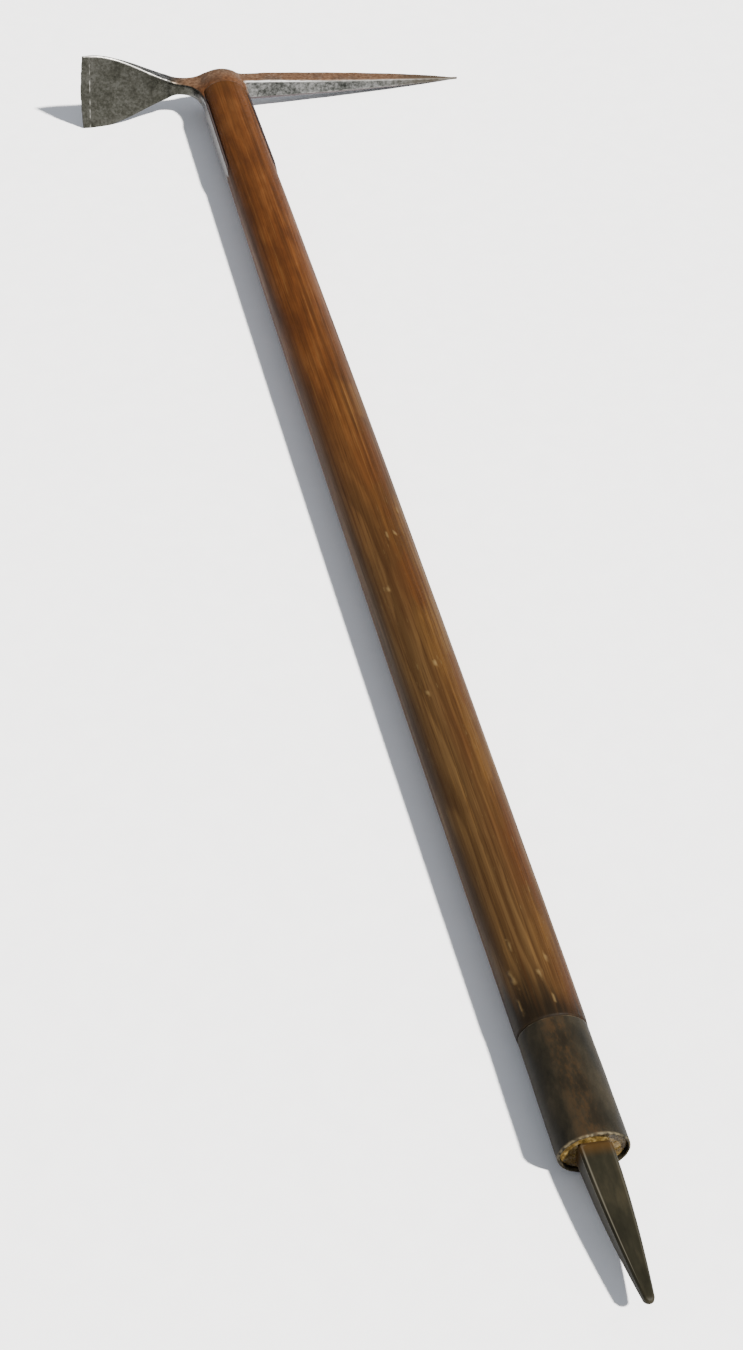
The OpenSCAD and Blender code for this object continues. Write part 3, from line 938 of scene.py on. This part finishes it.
def build_spike():
    """Four-sided spike with worn corner chamfers and a blunt tip; its tang is hidden in the wood."""
    blunt_y = -SPIKE_LEN + SPIKE_BLUNT
    run = RECESS + SPIKE_LEN - SPIKE_BLUNT
    heights = np.concatenate([np.linspace(RECESS + 0.02, RECESS - 0.6, 5),
                              np.linspace(RECESS - 1, blunt_y, 130),
                              -SPIKE_LEN + SPIKE_BLUNT * (1 - np.sin(np.radians(np.arange(5, 90, 5))))])
    rings = []
    for y in heights:
        t = np.clip((RECESS - y) / run, 0, 1)
        tip = np.clip((blunt_y - y) / SPIKE_BLUNT, 0, 1)
        close = max(0.08, math.sqrt(1 - tip ** 2))
        inset = 0.6 * smoothstep(RECESS - 1.6, RECESS, y) + 0.03
        half_w = (SPIKE_TIP_W + (SPIKE_W - SPIKE_TIP_W) * (1 - t ** 1.8)) / 2 * close - inset
        half_t = (SPIKE_TIP_T + (SPIKE_T - SPIKE_TIP_T) * (1 - t ** 1.3)) / 2 * close - inset
        chamfer = min(SPIKE_CHAMFER - 0.35 * t, half_t * 0.6, half_w * 0.6)
        ring = octagon(half_w, half_t, chamfer, chamfer, chamfer, 1.0, 6)
        rings.append(np.stack([ring[:, 0] + SPIKE_LEAN * t, np.full(len(ring), y), ring[:, 1]], 1))
    obj = loft(place(np.array(rings), MOUTH_Y), "square_spike")
    co = coords(obj)
    worn = 0.07 * perlin(co, (0.008, 0.02, 0.008), 6.6) - 0.07
    set_coords(obj, co + normals(obj) * (worn * MM)[:, None])
    relax(obj, np.full(len(co), 0.6), 2)
    edge_wear_and_highlight(obj, 1)
    finish_piece(obj, spike_steel(), "spike")


def build_packing():
    """Pitch round the root of the spike: higher at the rim and the spike, with lumps and pits."""
    n, rounds = 200, 26
    turn = 2 * np.pi * np.arange(n) / n
    a = SHAFT_W / 2 - FERRULE_WALL - PACKING_GAP
    b = SHAFT_T / 2 - FERRULE_WALL - PACKING_GAP
    rings = []
    for k in range(rounds):
        r = 1 - 0.62 * k / (rounds - 1)
        x, z = a * r * np.cos(turn), b * r * np.sin(turn)
        dish = 0.9 * (1 - ((r - 0.7) / 0.3) ** 2) if r > 0.4 else 0
        rings.append(np.stack([x, np.full(n, RECESS + 0.1 + max(dish, 0)), z], 1))
    top = place(np.array(rings), MOUTH_Y)
    flat = top.reshape(-1, 3)
    lumps = 0.55 * perlin(flat, 0.0035, 8.8) + 0.25 * perlin(flat, 0.0014, 1.9)
    flat[:, 1] = np.maximum(flat[:, 1] + lumps * MM, MOUTH_Y + RECESS * MM + 0.00002)
    bottom = np.stack([a * np.cos(turn), np.full(n, RECESS + 2.2), b * np.sin(turn)], 1)
    bottom = place(bottom[None], MOUTH_Y)
    obj = loft(np.concatenate([bottom, flat.reshape(rounds, n, 3)]), "pitch_packing")
    finish_piece(obj, pitch(), "mouth_packing")


# ---------------------------------------------------------------- stage, light and camera

def ground_plane():
    """Point and normal of the surface the axe lies on: adze corner, pick point and ferrule touch it."""
    corner = Vector((HEAD_LO.x + 0.002, PICK_LINE_Y, HEAD_LO.z))
    point = Vector((HEAD_HI.x, PICK_LINE_Y, AXIS_Z - 0.8 * MM))
    slope = (point.z - corner.z) / (point.x - corner.x)
    drop = math.hypot(SHAFT_T / 2, slope * SHAFT_W / 2) * MM
    heel = Vector((AXIS_X, MOUTH_Y, AXIS_Z - drop))
    normal = (point - corner).cross(heel - corner).normalized()
    return heel, normal if normal.z > 0 else -normal


def build_floor():
    heel, normal = ground_plane()
    half = 3.0
    mesh = bpy.data.meshes.new("floor")
    corners = [(-half, -half, 0), (half, -half, 0), (half, half, 0), (-half, half, 0)]
    mesh.from_pydata(corners, [], [(0, 1, 2, 3)])
    floor = new_object("floor", mesh)
    floor.matrix_world = Matrix.Translation(heel) @ normal.to_track_quat("Z", "Y").to_matrix().to_4x4()
    mesh.materials.append(floor_material())


# Light: where the sun shines to, its strength and width in degrees, and the strength of the sky
SUN_TOWARDS = Vector((-0.52, 0.68, -1.0))
SUN_STRENGTH = 17.0
SUN_WIDTH = 3
SKY_STRENGTH = 0.55


def build_light():
    sun = bpy.data.lights.new("key", "SUN")
    sun.energy = SUN_STRENGTH
    sun.angle = math.radians(SUN_WIDTH)
    sun.color = (1.0, 0.97, 0.93)
    key = bpy.data.objects.new("key", sun)
    key.rotation_euler = SUN_TOWARDS.to_track_quat("-Z", "Y").to_euler()
    bpy.context.scene.collection.objects.link(key)
    world = bpy.data.worlds.new("studio")
    world.use_nodes = True
    background = world.node_tree.nodes["Background"]
    background.inputs["Color"].default_value = (0.86, 0.91, 1.0, 1)
    background.inputs["Strength"].default_value = SKY_STRENGTH
    bpy.context.scene.world = world


# Camera, from the ferrule's mouth: place in metres, turn, tilt and roll in degrees, lens in millimetres
CAMERA_FROM_MOUTH = Vector((-0.2923, -0.6199, 0.8566))
CAMERA_TURN = 15.143
CAMERA_TILT = 40.604
CAMERA_ROLL = 4.665
CAMERA_LENS = 61.97


def build_camera():
    data = bpy.data.cameras.new("camera")
    data.lens = CAMERA_LENS
    data.sensor_width = 36
    camera = bpy.data.objects.new("camera", data)
    where = Vector((AXIS_X, MOUTH_Y, AXIS_Z)) + CAMERA_FROM_MOUTH
    turn, tilt, roll = (math.radians(v) for v in (CAMERA_TURN, CAMERA_TILT, CAMERA_ROLL))
    camera.matrix_world = (Matrix.Translation(where) @ Matrix.Rotation(-turn, 4, "Z")
                           @ Matrix.Rotation(math.pi / 2 - tilt, 4, "X") @ Matrix.Rotation(roll, 4, "Z"))
    bpy.context.scene.collection.objects.link(camera)
    bpy.context.scene.camera = camera


build_camera()
build_light()
build_floor()
build_head()
build_rivets()
build_shaft()
build_ferrule()
build_nail()
build_spike()
build_packing()
